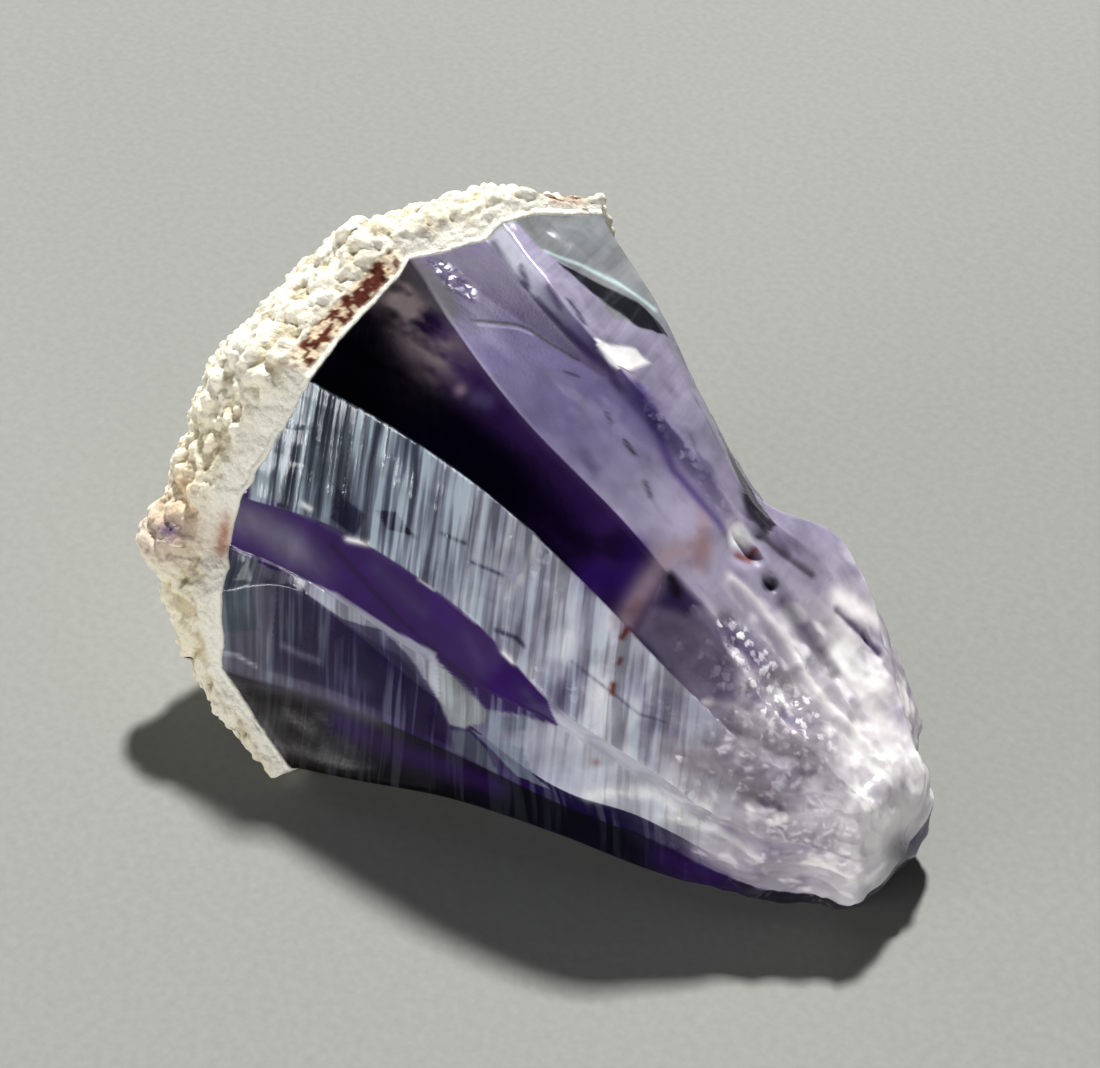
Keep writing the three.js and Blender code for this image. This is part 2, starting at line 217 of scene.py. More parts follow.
print("stage: crystal shape")
crystal = {
    # corners of each ridge in mm, from the crust to the tip; the ridges go round from the near foot
    "ridges": {
        "nearFoot": [[-6, -18.5, 0], [-1, -16, 0], [5, -13, 0], [12, -10.5, 0], [18, -8.5, 0], [24, -6, 0],
                     [28.5, -3.4, 0]],
        "lowerEdge": [[-6, -21.0, 1.5], [-0.8, -18.8, 2.2], [5.2, -15.6, 2.4], [12.4, -12.6, 2],
                      [19, -10.2, 1.4], [25, -7.4, 1.2], [29.6, -4, 1]],
        "lilacRidge": [[-13.2, -20.5, 6.5], [-5, -17.4, 7], [4.2, -15, 6.8], [12.4, -12.4, 5.4],
                       [18.2, -9.8, 4.2], [25, -7.6, 2.8], [29.8, -4.4, 2.2]],
        "sliver": [[-14.2, -19, 12.5], [-8.6, -16.2, 14.2], [1.4, -14.2, 10.2], [11.8, -13, 7.6],
                   [17.8, -10, 6.2], [25, -7.8, 4.8], [29.8, -4.4, 4.2]],
        "stripFoot": [[-15.6, -16.8, 14.8], [-8.4, -15.6, 15], [2.8, -13.5, 12.6], [10.2, -11.6, 12],
                      [17.6, -9.4, 9.4], [24.6, -7.8, 7], [29.8, -4.6, 5.8]],
        "stripTop": [[-15, -15.6, 19], [-6.4, -13.7, 20], [4, -12.7, 18.8], [11.8, -12.1, 14.8],
                     [17.8, -9.8, 11.4], [24.6, -8, 8.8], [29.6, -4.4, 7.4]],
        "brightFaceTop": [[-13.2, -10.2, 27.5], [-4.6, -9.6, 27.5], [3.8, -9, 26.2], [12, -8.4, 22.8],
                          [17.8, -7, 18], [24, -5.2, 13], [29.2, -3, 10]],
        "darkFaceTop": [[-13, 0, 32], [-6.6, -2.8, 31.8], [2, -4.8, 29.8], [11, -4.6, 25.9],
                        [16.6, -3.6, 20.8], [23.2, -2.8, 15.2], [29.2, -1.6, 11]],
        "ledgeFoot": [[-10.8, 5, 32], [-3.6, 3.4, 30.4], [3.6, 3, 27.6], [10.6, 3.4, 23.2], [17.4, 3.2, 18],
                      [23.6, 3.4, 13.6], [29, 2.2, 10.2]],
        "ledgeLip": [[-10.6, 6.4, 32.8], [-3.6, 4.4, 31.6], [3.6, 4, 28.6], [10.4, 4.4, 24],
                     [17.2, 4.2, 18.6], [23.4, 4.2, 14], [28.8, 2.6, 10.4]],
        "greyFacetEdge": [[-9.8, 9.4, 32.4], [0.8, 9.4, 28.8], [7.4, 7.4, 25.4], [13, 6.6, 20.8],
                          [17.9, 8.3, 17.6], [23.8, 7.8, 13.4], [29.4, 5, 9.6]],
        "farTop": [[-8, 13.8, 30.8], [1, 10.6, 28.2], [6.2, 8.8, 25], [12.2, 8, 20.2], [17.3, 11.3, 17.1],
                   [24, 8.7, 13], [28.8, 5.6, 8.6]],
        "back": [[-8, 17.5, 17], [1, 15.5, 15], [8, 13.5, 13], [14, 12.5, 11.5], [19.5, 13, 9.7],
                 [25.6, 10.6, 7.2], [29.2, 7, 5]],
        "backFoot": [[-9, 13, 0], [0, 12, 0], [7, 10.5, 0], [13, 9.5, 0], [19, 9, 0], [25, 7.5, 0],
                     [29, 5, 0]],
    },
    # for the face that follows each ridge: columns, how striated and how chipped it is
    "columns": [6, 16, 28, 18, 26, 60, 52, 32, 6, 22, 24, 26, 20, 14],
    "striated": [0.05, 0.1, 0.4, 0.6, 0.0, 1.0, 0.0, 0.0, 0.0, 0.15, 0.1, 0.5, 0.5, 0.0],
    "chipped": [0.3, 0.2, 0.1, 0.15, 0.0, 0.05, 0.05, 0.12, 0.3, 0.8, 0.25, 0.6, 0.8, 0.0],
    "rows": 244,
    "tipRows": 24,
    "peakRows": 8,
    "peak": np.array([-20.2, -8, 18.5]),
    "peakFullness": 0.62,
    "tipCentre": np.array([29.4, 0.6, 4.8]),
    "tipLength": 3.0,
    "tipBluntness": 0.55,
    "rimWander": 0.35,  # how far the edge against the crust wanders, mm
    # hollows knocked out of the faces: station, place round, radius and depth in mm
    "hollows": [
        (1.72, 9.1, 1.9, 0.2),
        (3.6, 8.32, 1.8, 0.9),
        (3.96, 8.2, 0.7, 0.6),
        (4.9, 7.25, 2.4, 0.5),
        (1.6, 11.7, 3.0, 1.0),
        (4.1, 12.5, 2.2, 0.8),
    ],
    # crests and clefts of the broken end: corners as station and place round, radius and height in mm
    "folds": [
        ([(3.8, 7.65), (4.1, 7.78), (4.45, 7.76), (4.8, 7.66), (5.1, 7.66), (5.5, 7.75), (5.9, 7.9)],
         0.35, 0.28),
        ([(4.15, 8.1), (4.5, 8.02), (4.7, 8.0), (4.95, 8.15)], 0.4, -0.35),
        ([(3.6, 9.3), (3.82, 9.45), (4.1, 9.6)], 0.3, -0.3),
        ([(4.5, 9.6), (4.76, 9.82), (5.02, 10.15)], 0.3, -0.3),
        ([(3.34, 3.0), (3.68, 3.4), (3.95, 3.5)], 0.5, 0.2),
        ([(4.2, 3.3), (4.7, 3.95), (5.2, 3.8)], 0.5, 0.35),
        ([(4.32, 5.35), (4.68, 5.42), (5.36, 5.62)], 0.7, -0.35),
    ],
}

ridgeOf, partOf = columnsFor(crystal["columns"])
lastStation = 6
sideStations = np.linspace(0, lastStation, crystal["rows"] + 1)
ridgeLines = np.stack([alongRidge(line, sideStations) for line in crystal["ridges"].values()], axis=1)
sides = ringThrough(ridgeLines, ridgeOf, partOf)
for _ in range(2):  # wears the ridges round by a fraction of a millimetre
    worn = (np.roll(sides, 1, axis=1) + 2 * sides + np.roll(sides, -1, axis=1)) / 4
    sides = sides + (worn - sides) * smoothStep(0, 0.1, sideStations)[:, None, None]


# how far each point of the crystal's rim moves along the crystal, so that the crust's edge is uneven
def rimShift(rim):
    return crystal["rimWander"] * clouds(rim, 1.7, 7)[..., None] * growthAxis


sides = sides + rimShift(sides[0]) * (1 - smoothStep(0, 0.35, sideStations))[:, None, None]
tipAngles = (np.arange(crystal["tipRows"]) + 1) / (crystal["tipRows"] + 0.7) * math.pi / 2
width = np.cos(tipAngles) ** crystal["tipBluntness"]
tip = crystal["tipCentre"] + (sides[-1] - crystal["tipCentre"]) * width[:, None, None]
tip[..., 0] += crystal["tipLength"] * (1 - 0.03 * sides[-1][:, 2]) * np.sin(tipAngles)[:, None]
pyramid = peakRings(sides[0], crystal["peak"], crystal["peakRows"], crystal["peakFullness"])[::-1]

even = np.concatenate([pyramid, sides, tip])
station = np.concatenate([
    np.linspace(-0.3, -0.04, crystal["peakRows"]), sideStations,
    lastStation + 0.6 * np.arange(1, crystal["tipRows"] + 1) / crystal["tipRows"],
])[:, None] * np.ones(len(ridgeOf))
aroundPlace = np.broadcast_to(ridgeOf + partOf, station.shape)  # 6.5 is midway from ridge 6 to ridge 7
growth = even @ growthAxis
acrossGrowth = aroundLength(even)


# the place on the faces at a station along the crystal and a place round it
def onFaces(where):
    found = []
    for stationAt, around in where:
        ring = np.array([alongRidge(line, np.array([stationAt]))[0] for line in crystal["ridges"].values()])
        first = int(around) % len(ring)
        found.append(ring[first] * (1 - around % 1) + ring[(first + 1) % len(ring)] * (around % 1))
    return np.array(found)


# 1 within a many-sided patch of the faces and 0 outside, with an edge as soft as given in mm
def patch(corners, soft=0.2):
    inside = np.zeros(station.shape, bool)
    for (u0, v0), (u1, v1) in zip(corners, corners[1:] + corners[:1]):
        crosses = (v0 > aroundPlace) != (v1 > aroundPlace)
        inside ^= crosses & (station < u0 + (u1 - u0) * (aroundPlace - v0) / (v1 - v0 if v1 != v0 else 1e-9))
    places = onFaces(corners)
    edgeDistance = np.full(station.shape, 1e9)
    for a, b in zip(places, np.roll(places, -1, axis=0)):
        run = b - a
        part = np.clip(((even - a) @ run) / max(run @ run, 1e-9), 0, 1)
        edgeDistance = np.minimum(edgeDistance, np.linalg.norm(even - a - part[..., None] * run, axis=-1))
    return smoothStep(-soft, soft, np.where(inside, edgeDistance, -edgeDistance))


def stroke(corners, radius):
    return nearLine(even, onFaces(corners), radius)


# flat treads at slightly different levels, square to the growth axis
def treads(pitch, seed, riser=0.3):
    phase = growth / pitch
    tread = np.floor(phase)
    low, high = cellNumber(tread, 3, 5, seed), cellNumber(tread + 1, 3, 5, seed)
    return low + (high - low) * smoothStep(1 - riser, 1, phase - tread) - 0.5


# oblong growth blocks at slightly different levels
def blocks(wide, tall, seed):
    column = np.floor(growth / wide + 0.3 * lumps(even, 3, seed))
    level = np.floor(acrossGrowth / tall + 7 * cellNumber(column, 1, 2, seed))
    return cellNumber(column, level, 4, seed) - 0.5


striated = np.array(crystal["striated"])[ridgeOf] * np.ones_like(station)
chipped = np.array(crystal["chipped"])[ridgeOf] * np.ones_like(station)
towardsTip = smoothStep(3.7, 5.0, station + 0.3 * clouds(even, 5, 3))
striated = striated * (1 - 0.9 * towardsTip)
onBrightFace = smoothStep(4.9, 5.05, aroundPlace) * smoothStep(6.0, 5.97, aroundPlace)
onDarkFace = smoothStep(5.97, 6.0, aroundPlace) * smoothStep(7.0, 6.97, aroundPlace)
druse = patch([(4.1, 7.15), (4.08, 7.35), (4.5, 7.45), (5.46, 7.5), (5.6, 7.3), (5.3, 6.95), (4.82, 6.72),
               (4.48, 6.97)], 0.5)
# where grains are painted white as glints and raised as small points in the shader, and where small chips
# roughen the relief
sparkling = np.clip(
    druse + patch([(0.05, 7.17), (0.14, 7.35), (0.6, 7.5), (0.78, 7.38), (0.56, 7.2)], 0.3)
    + 0.35 * patch([(2.2, 8.3), (2.25, 8.9), (3.2, 8.8), (3.3, 8.25)], 0.5)
    + 0.25 * onBrightFace * smoothStep(1.8, 2.8, station)
    * smoothStep(0.1, 0.6, clouds(even, [1.6, 2.6, 2.6], 52))
    + 0.35 * towardsTip * smoothStep(0.0, 0.5, clouds(even, 2.2, 54)), 0, 1)

relief = striated * (0.13 * treads(1.9, 1) + 0.09 * treads(0.93, 2) + 0.05 * treads(0.47, 4, 0.5))
relief += striated * 0.02 * blocks(2.3, 3.1, 11)
relief += chipped * (0.9 * scoops(even, [5, 3.6, 3.6], 23) + 0.25 * scoops(even, [1.9, 1.4, 1.4], 24))
relief += 0.04 * clouds(even, 4, 31)
relief = relief * (1 - towardsTip) + towardsTip * (
    0.8 * scoops(even, [5.2, 3.2, 3.2], 41) + 0.45 * scoops(even, [2.1, 1.4, 1.4], 42)
    + 0.2 * scoops(even, 0.9, 43) + 0.12 * clouds(even, 2.4, 44))
relief += sparkling * 0.18 * scoops(even, 0.65, 51)
for corners, radius, height in crystal["folds"]:
    relief += height * stroke(corners, radius) * (0.7 + 0.9 * clouds(even, 1.6, 56))
for stationAt, around, radius, depth in crystal["hollows"]:
    away = np.linalg.norm(even - onFaces([(stationAt, around)])[0], axis=-1) / radius
    away += 0.1 * clouds(even, 1.4, 61)
    relief -= depth * (1 - smoothStep(0.4, 1.05, away))

offRidge = np.minimum(1, 0.25 + 3 * np.minimum(partOf, 1 - partOf))
offRidge = offRidge + (1 - offRidge) * towardsTip
relief = relief * offRidge * smoothStep(0, 0.15, station) * smoothStep(0.15, 1.6, even[..., 2])
relief *= 1 - smoothStep(lastStation + 0.4, lastStation + 0.6, station)
crystalGrid = even + gridNormals(even) * relief[..., None]
crystalGrid[..., 2] = np.maximum(crystalGrid[..., 2], 0)
tipPoint = crystal["tipCentre"] + [crystal["tipLength"], 0, 0]
amethyst = closedLoft("amethystPoint", crystal["peak"], crystalGrid, tipPoint)

print("stage: crystal colouring")
crystalLook = {
    "colours": {
        "black": "#05020c", "blackViolet": "#11062c", "deepViolet": "#290f63", "violet": "#482091",
        "dusk": "#54437a", "haze": "#7e75a0", "lilac": "#bab4ca", "slate": "#828c9b", "steel": "#979db2",
        "silver": "#dcdde8", "clearGrey": "#b8bbbd", "milk": "#c4bec6", "white": "#fdfbfa",
        "paleBlue": "#c8dadc", "iron": "#8a3a1c", "rust": "#b98a84", "brown": "#1e1214", "smoke": "#8d8184",
        "mauve": "#b7a3b0", "smokyLilac": "#9389a2", "greyLilac": "#9a96a8", "purple": "#541f88",
        "ash": "#585460", "plum": "#5c3680",
    },
    # for the face that follows each ridge: its tint near the crust, midway and before the milky end
    "faces": [
        # painted shade: the undersides, faces 0, 1 and 13, are tinted black
        ("black", "black", "black"), ("brown", "black", "blackViolet"),
        ("greyLilac", "purple", "deepViolet"), ("greyLilac", "haze", "silver"), ("haze", "purple", "silver"),
        # face 5, the striated face, goes slate, steel and silver as a painted reflection; face 6, the dark
        # band, is black partly as the quartz's deep colour and partly as painted shade
        ("slate", "steel", "silver"), ("black", "blackViolet", "deepViolet"), ("dusk", "haze", "lilac"),
        # face 10, the clear corner, starts clear grey as painted light: the lit floor seen through it and
        # reflected
        ("silver", "haze", "lilac"), ("lilac", "lilac", "lilac"), ("clearGrey", "lilac", "lilac"),
        ("dusk", "haze", "lilac"), ("blackViolet", "deepViolet", "dusk"), ("black", "black", "blackViolet"),
    ],
    # how cloudy each face is at the same three stations
    "cloudiness": [
        (0.6, 0.6, 0.5), (0.8, 0.7, 0.5), (0.5, 0.4, 0.5), (0.5, 0.55, 0.8), (0.6, 0.55, 0.8),
        (0.55, 0.65, 0.9), (0.2, 0.25, 0.5), (0.65, 0.65, 0.75), (0.8, 0.6, 0.75), (0.85, 0.7, 0.75),
        (0.65, 0.6, 0.75), (0.5, 0.5, 0.7), (0.4, 0.4, 0.5), (0.5, 0.5, 0.5),
    ],
    # how matt and pitted each face is
    "frost": [0.2, 0.6, 0.4, 0.4, 0.1, 0.2, 0.05, 1.4, 1.2, 0.5, 0.3, 0.4, 0.5, 0.3],
    # patches of the faces: corners as station and place round, edge in mm, tint, strength, cloudiness
    "patches": [
        # dark step beside the top face, and the terraces' shadow beneath it
        ([(0.02, 7.2), (0.56, 7.45), (1.06, 7.7), (1.52, 7.88), (1.8, 7.98), (2.02, 8.22), (1.86, 8.6),
          (1.42, 8.4), (0.88, 8.18), (0.42, 7.88), (0.02, 7.6)], 0.2, "dusk", 0.85, 0.5),
        ([(0.0, 6.9), (0.1, 7.12), (0.6, 7.25), (0.95, 7.15), (1.0, 7.0), (0.5, 6.9)], 0.5, "ash", 0.85, 0.5),
        # clear grey corner with its pale edge and dark foot; its grey is painted light, the lit floor seen
        # through it and reflected
        ([(0.0, 9.3), (0.02, 9.97), (0.0, 10.95), (0.46, 11.05), (0.94, 10.9), (1.16, 10.5), (1.12, 9.53),
          (0.62, 9.55), (0.36, 9.32)], 0.15, "clearGrey", 0.95, 0.6),
        ([(0.54, 9.4), (0.68, 9.7), (0.86, 10.0), (1.04, 10.3), (1.2, 10.4), (1.14, 9.75), (0.9, 9.5),
          (0.62, 9.4)], 0.12, "blackViolet", 0.85, 0.35),
        # painted highlight: a chip painted white
        ([(1.62, 8.7), (1.5, 9.15), (1.44, 9.55), (1.6, 9.6), (1.82, 9.2), (1.9, 8.75), (1.78, 8.6)],
         0.15, "white", 1.0, 1.0),
        # violet strip from the crust to its cut-off end
        ([(0.0, 5.08), (0.62, 4.95), (1.08, 4.88), (1.62, 4.92), (2.3, 4.98), (2.4, 4.85), (2.56, 4.97),
          (2.92, 4.9), (3.14, 4.0), (2.84, 3.86), (2.62, 3.76), (2.44, 3.58), (2.3, 3.75), (2.14, 3.98),
          (1.84, 4.08), (1.62, 4.18), (1.34, 3.85), (0.84, 3.7), (0.0, 3.92)], 0.12, "purple", 0.95, 0.6),
        # far end of the dark band: a smoky window, darker at its near corner
        ([(3.5, 6.25), (3.56, 7.05), (4.12, 7.15), (4.5, 6.9), (4.6, 6.5), (4.3, 6.08), (3.48, 6.0)],
         0.4, "smokyLilac", 0.9, 0.7),
        ([(3.54, 6.5), (3.58, 7.05), (3.95, 7.1), (3.9, 6.8)], 0.5, "dusk", 0.9, 0.5),
        # clear grey-green window under the end of the strip, and the striped facets beyond it
        ([(1.86, 4.12), (2.06, 3.98), (2.22, 3.77), (2.44, 3.55), (2.44, 3.25), (2.28, 2.73), (2.12, 2.55),
          (2.1, 2.98), (1.92, 3.55)], 0.1, "clearGrey", 0.95, 0.75),
        ([(2.44, 3.5), (2.84, 3.88), (2.82, 3.62), (2.48, 3.23)], 0.1, "steel", 0.9, 0.7),
        ([(2.34, 2.85), (2.78, 3.3), (2.98, 2.58), (2.64, 2.23), (2.52, 2.62)], 0.12, "steel", 0.9, 0.7),
        ([(2.1, 2.42), (2.32, 2.75), (2.42, 2.55), (2.44, 1.95), (2.08, 2.02)], 0.12, "slate", 0.8, 0.5),
        # dark lens of a face by the crust, with a pale triangle in its corner
        ([(0.44, 2.1), (0.84, 3.3), (1.36, 2.95), (1.74, 3.4), (2.12, 2.9), (2.0, 2.1)],
         0.25, "deepViolet", 0.6, 0.35),
        ([(0.0, 3.73), (0.44, 4.0), (0.44, 2.52), (0.02, 2.48)], 0.1, "slate", 0.9, 0.45),
        ([(0.16, 3.27), (0.3, 3.85), (0.42, 3.2)], 0.06, "clearGrey", 0.9, 0.8),
        # striped sliver under the strip, painted silver as a painted reflection
        ([(0.84, 3.92), (1.2, 4.08), (1.62, 4.1), (1.9, 4.17), (2.12, 3.0), (1.74, 3.7), (1.54, 4.0),
          (1.36, 3.1), (1.08, 3.1)], 0.1, "silver", 0.8, 0.75),
        # dark notches in the striated face
        ([(0.76, 5.33), (0.88, 5.25), (1.08, 5.22), (1.1, 4.98), (0.86, 5.05)], 0.12, "deepViolet", 0.7, 0.4),
        ([(1.14, 5.3), (1.28, 5.38), (1.46, 5.28), (1.28, 5.2)], 0.06, "dusk", 0.9, 0.4),
        # dark fin at the far edge
        ([(2.3, 10.9), (2.74, 10.1), (3.4, 9.3), (3.6, 9.4), (3.1, 10.5), (2.8, 11.2)],
         0.3, "brown", 0.7, 0.35),
    ],
    # thin marks: corners, radius in mm, tint, strength, cloudiness
    "strokes": [
        # painted reflection: a pale blue line along the clear corner's edge
        ([(0.4, 9.38), (0.52, 9.75), (0.68, 10.0), (0.92, 10.65)], 0.22, "paleBlue", 1.0, 0.95),
        # painted shade: a black line along the step of the top face, short dark dashes beyond it, and soft
        # dark marks under the terraces
        ([(1.02, 7.22), (1.1, 7.6), (1.16, 7.7), (1.34, 7.78), (1.58, 7.9)], 0.12, "black", 0.9, 0.5),
        ([(1.08, 7.25), (1.16, 7.6), (1.24, 7.7)], 0.12, "lilac", 0.6, 0.9),
        ([(1.68, 7.7), (1.74, 7.78)], 0.15, "blackViolet", 0.6, 0.5),
        ([(2.14, 7.74), (2.24, 7.7)], 0.16, "blackViolet", 0.6, 0.5),
        ([(2.42, 7.68), (2.54, 7.65)], 0.2, "blackViolet", 0.8, 0.5),
        ([(2.78, 7.52), (2.9, 7.45)], 0.18, "blackViolet", 0.6, 0.5),
        ([(0.1, 8.1), (0.5, 7.97), (0.7, 8.05)], 0.3, "dusk", 0.7, 0.5),
        ([(0.5, 8.45), (0.68, 8.2)], 0.16, "deepViolet", 0.6, 0.5),
        ([(0.9, 8.9), (1.12, 8.72)], 0.25, "dusk", 0.7, 0.5),
        ([(1.06, 9.1), (1.36, 9.05)], 0.18, "deepViolet", 0.7, 0.5),
        # violet crevice down the far ledges
        ([(2.08, 9.05), (2.3, 8.62), (2.5, 8.0), (2.78, 7.88), (3.1, 7.9), (3.4, 7.95)],
         0.45, "violet", 0.6, 0.5),
        ([(2.2, 8.8), (2.6, 8.5), (3.1, 8.45)], 1.3, "violet", 0.3, 0.5),
        # flecks inside the dark band, and the mauve veil at its far end
        ([(1.38, 6.64)], 0.5, "mauve", 0.75, 0.7),
        ([(1.54, 6.7), (1.64, 6.78)], 0.7, "haze", 0.6, 0.6),
        ([(2.9, 6.1), (3.2, 6.4), (3.2, 6.9)], 1.0, "violet", 0.6, 0.5),
        ([(3.34, 6.05), (3.4, 6.6), (3.4, 7.1), (3.45, 7.6)], 0.9, "mauve", 0.9, 0.75),
        ([(3.36, 6.2), (3.38, 6.35)], 0.4, "iron", 0.3, 0.6),
        # cracks, ledges and stains of the striated face
        ([(3.0, 5.4), (3.34, 5.42), (3.78, 5.42), (4.04, 5.53)], 0.12, "dusk", 0.5, 0.7),
        ([(2.96, 5.97), (3.02, 5.72), (3.08, 5.42), (3.02, 5.17), (3.02, 4.85)], 0.6, "dusk", 0.5, 0.7),
        ([(1.36, 5.28), (1.48, 5.28)], 0.16, "black", 0.6, 0.4),
        ([(1.66, 5.45), (1.84, 5.5)], 0.15, "black", 0.6, 0.4),
        ([(1.94, 5.4), (2.2, 5.5)], 0.13, "dusk", 0.7, 0.6),
        ([(2.3, 5.08), (2.48, 5.17), (2.56, 5.17)], 0.18, "dusk", 0.8, 0.6),
        ([(3.38, 5.97), (3.36, 5.88)], 0.24, "iron", 1.0, 0.9),
        ([(3.42, 5.72), (3.42, 5.68)], 0.18, "iron", 0.9, 0.9),
        ([(3.44, 5.49), (3.46, 5.42)], 0.22, "iron", 1.0, 0.9),
        ([(3.52, 3.75), (3.48, 3.7)], 0.25, "rust", 0.7, 0.8),
        # stained cavity: iron and rust stains, a painted glint in white, and painted shade in the small hole
        # beside it
        ([(3.5, 8.1), (3.46, 8.35), (3.6, 8.7)], 0.6, "white", 1.0, 1.0),
        ([(3.62, 7.95), (3.7, 8.1), (3.72, 8.9)], 0.25, "iron", 0.8, 0.9),
        ([(3.24, 7.8), (3.46, 7.6), (3.6, 7.4)], 0.7, "rust", 0.4, 0.8),
        ([(3.96, 8.2), (3.97, 8.3)], 0.45, "blackViolet", 0.8, 0.5),
        ([(3.62, 7.0), (3.74, 6.93)], 0.4, "blackViolet", 0.85, 0.4),
        # crests and clefts of the milky end: white on the crests is partly milky quartz and partly painted
        # highlight, and the ash, dusk and smoke in the clefts are painted shade
        ([(3.44, 3.1), (3.76, 3.42), (4.1, 3.77), (4.6, 3.67)], 0.6, "white", 0.7, 0.95),
        ([(4.2, 3.3), (4.7, 3.95), (5.2, 3.8)], 0.5, "white", 0.6, 0.95),
        ([(4.2, 5.3), (4.5, 5.5), (5.22, 5.67)], 0.9, "smoke", 0.6, 0.85),
        ([(5.4, 6.8), (5.65, 6.9)], 1.2, "smoke", 0.3, 0.85),
        ([(5.3, 12.3), (5.5, 12.4)], 1.2, "haze", 0.45, 0.85),
        ([(4.6, 9.6), (4.96, 9.25), (5.38, 9.22), (5.7, 9.5)], 1.2, "white", 0.65, 0.95),
        ([(3.8, 7.65), (4.1, 7.78), (4.45, 7.76), (4.8, 7.66), (5.1, 7.66), (5.9, 7.9)],
         0.5, "white", 0.6, 0.95),
        ([(4.15, 8.1), (4.5, 8.02), (4.7, 8.0), (4.95, 8.15)], 0.5, "ash", 0.5, 0.8),
        ([(4.25, 7.15), (4.5, 7.25)], 0.9, "dusk", 0.7, 0.7),
        ([(3.6, 9.3), (3.82, 9.45), (4.1, 9.6)], 0.3, "ash", 0.7, 0.7),
        ([(4.5, 9.6), (4.76, 9.82), (5.02, 10.15)], 0.3, "dusk", 0.8, 0.7),
        ([(4.4, 9.8), (4.6, 10.2), (4.74, 10.9)], 0.9, "white", 0.9, 1.0),
        ([(4.84, 9.2), (5.0, 9.3), (5.3, 9.6)], 0.9, "white", 0.9, 1.0),
        # purple, haze and a dark patch in the low side
        ([(4.2, 1.6), (4.7, 1.6)], 1.4, "purple", 0.7, 0.5),
        ([(1.0, 1.7), (1.5, 1.6), (2.4, 1.65)], 1.0, "purple", 0.6, 0.5),
        ([(1.2, 2.3), (1.35, 2.3)], 0.9, "haze", 0.4, 0.5),
        ([(1.6, 3.25), (1.85, 3.25)], 0.8, "deepViolet", 0.5, 0.5),
        # haze and a dark streak along the strip, and pale marks on the lilac ridge
        ([(0.05, 4.6), (0.35, 4.55), (0.7, 4.4)], 1.6, "greyLilac", 0.75, 0.8),
        ([(0.7, 4.4), (1.0, 4.3)], 1.3, "greyLilac", 0.35, 0.7),
        ([(1.35, 4.75), (1.7, 4.6)], 0.8, "haze", 0.3, 0.6),
        ([(2.1, 4.7), (2.3, 4.3)], 0.7, "haze", 0.2, 0.6),
        ([(2.75, 4.5), (2.9, 4.2)], 0.8, "haze", 0.45, 0.6),
        ([(1.0, 4.7), (1.6, 4.3), (2.2, 4.05)], 0.3, "black", 0.4, 0.5),
        ([(0.05, 2.1), (0.5, 2.0), (0.9, 2.0), (1.4, 1.98)], 0.7, "greyLilac", 0.5, 0.7),
        ([(0.66, 2.4), (0.82, 2.35), (0.98, 2.35)], 0.3, "lilac", 0.6, 0.7),
        ([(0.0, 2.2), (0.18, 2.2), (0.34, 2.12)], 0.16, "silver", 0.8, 0.9),
        # glints where the strip meets the striated face
        ([(0.56, 5.08), (0.66, 5.06)], 0.22, "white", 0.9, 1.0),
        ([(1.06, 4.9), (1.2, 5.0)], 0.26, "white", 1.0, 1.0),
        ([(1.62, 4.95), (1.74, 4.97)], 0.12, "white", 0.7, 0.9),
        ([(2.02, 4.98), (2.12, 4.98)], 0.12, "white", 0.7, 0.9),
        ([(2.42, 4.94), (2.5, 4.94)], 0.28, "white", 1.0, 1.0),
    ],
    # marks on the blunt tip: places in mm, radius, tint, strength, cloudiness
    "tipMarks": [
        ([(31.3, 1.8, 7.8), (31.2, -1.2, 8.2), (31.4, -1.3, 6.8)], 1.2, "white", 0.7, 0.95),
        ([(29.6, 4.0, 8.3), (29.0, 4.6, 9.0)], 0.7, "white", 0.9, 1.0),
        ([(31.7, -0.1, 4.2), (31.2, -2.6, 3.4)], 1.0, "clearGrey", 0.7, 0.7),
    ],
}
colours = {name: np.array(hexColour(code)[:3]) for name, code in crystalLook["colours"].items()}
tint = np.ones(even.shape)
cloudy = np.zeros(station.shape)
midway = smoothStep(0.2, 1.7, station + 0.25 * clouds(even, 3, 71))
nearTip = smoothStep(1.9, 3.4, station + 0.25 * clouds(even, 3, 74))
for face, (first, middle, last) in enumerate(crystalLook["faces"]):
    on = ridgeOf == face
    blend = colours[first] * (1 - midway[:, on, None]) + colours[middle] * midway[:, on, None]
    tint[:, on] = blend * (1 - nearTip[:, on, None]) + colours[last] * nearTip[:, on, None]
    first, middle, last = crystalLook["cloudiness"][face]
    cloudy[:, on] = (first + (middle - first) * midway[:, on]) * (1 - nearTip[:, on]) + last * nearTip[:, on]


# lays a tint and a cloudiness over the faces where the mask is
def lay(mask, name, strength, cloudiness):
    mask = np.clip(mask * strength, 0, 1)
    tint[:] = tint * (1 - mask[..., None]) + colours[name] * mask[..., None]
    cloudy[:] = cloudy * (1 - mask) + cloudiness * mask


